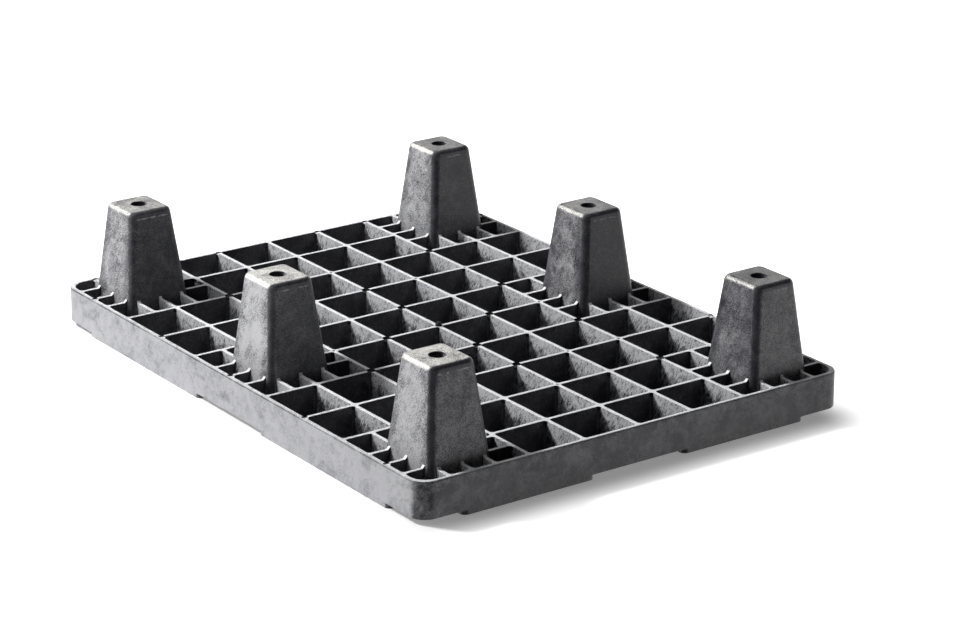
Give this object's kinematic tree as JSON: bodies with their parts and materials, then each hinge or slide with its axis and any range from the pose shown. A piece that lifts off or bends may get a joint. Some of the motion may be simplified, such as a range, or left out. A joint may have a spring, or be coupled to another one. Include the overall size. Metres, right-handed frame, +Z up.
{
  "type": "display pallet",
  "caption": "Nestable half-size display pallet stored ribs up: closed deck on a square rib grid, rounded skirt, tapered hollow feet and low lips round the load face.",
  "frame": {"origin": "on the surface it lies on, under the middle of the pallet, level with the lips' faces", "axes": "+X along the 800 mm length, +Y along the 600 mm width, +Z up, from the load face to the feet, as the picture shows it"},
  "size_m": [0.8, 0.6, 0.1625],
  "materials": {
    "recycled_plastic": "charcoal recycled polyolefin with pale flow marks and scuffed edges"
  },
  "bodies": {
    "root": {"pallet": "recycled_plastic"}
  },
  "joints": []
}
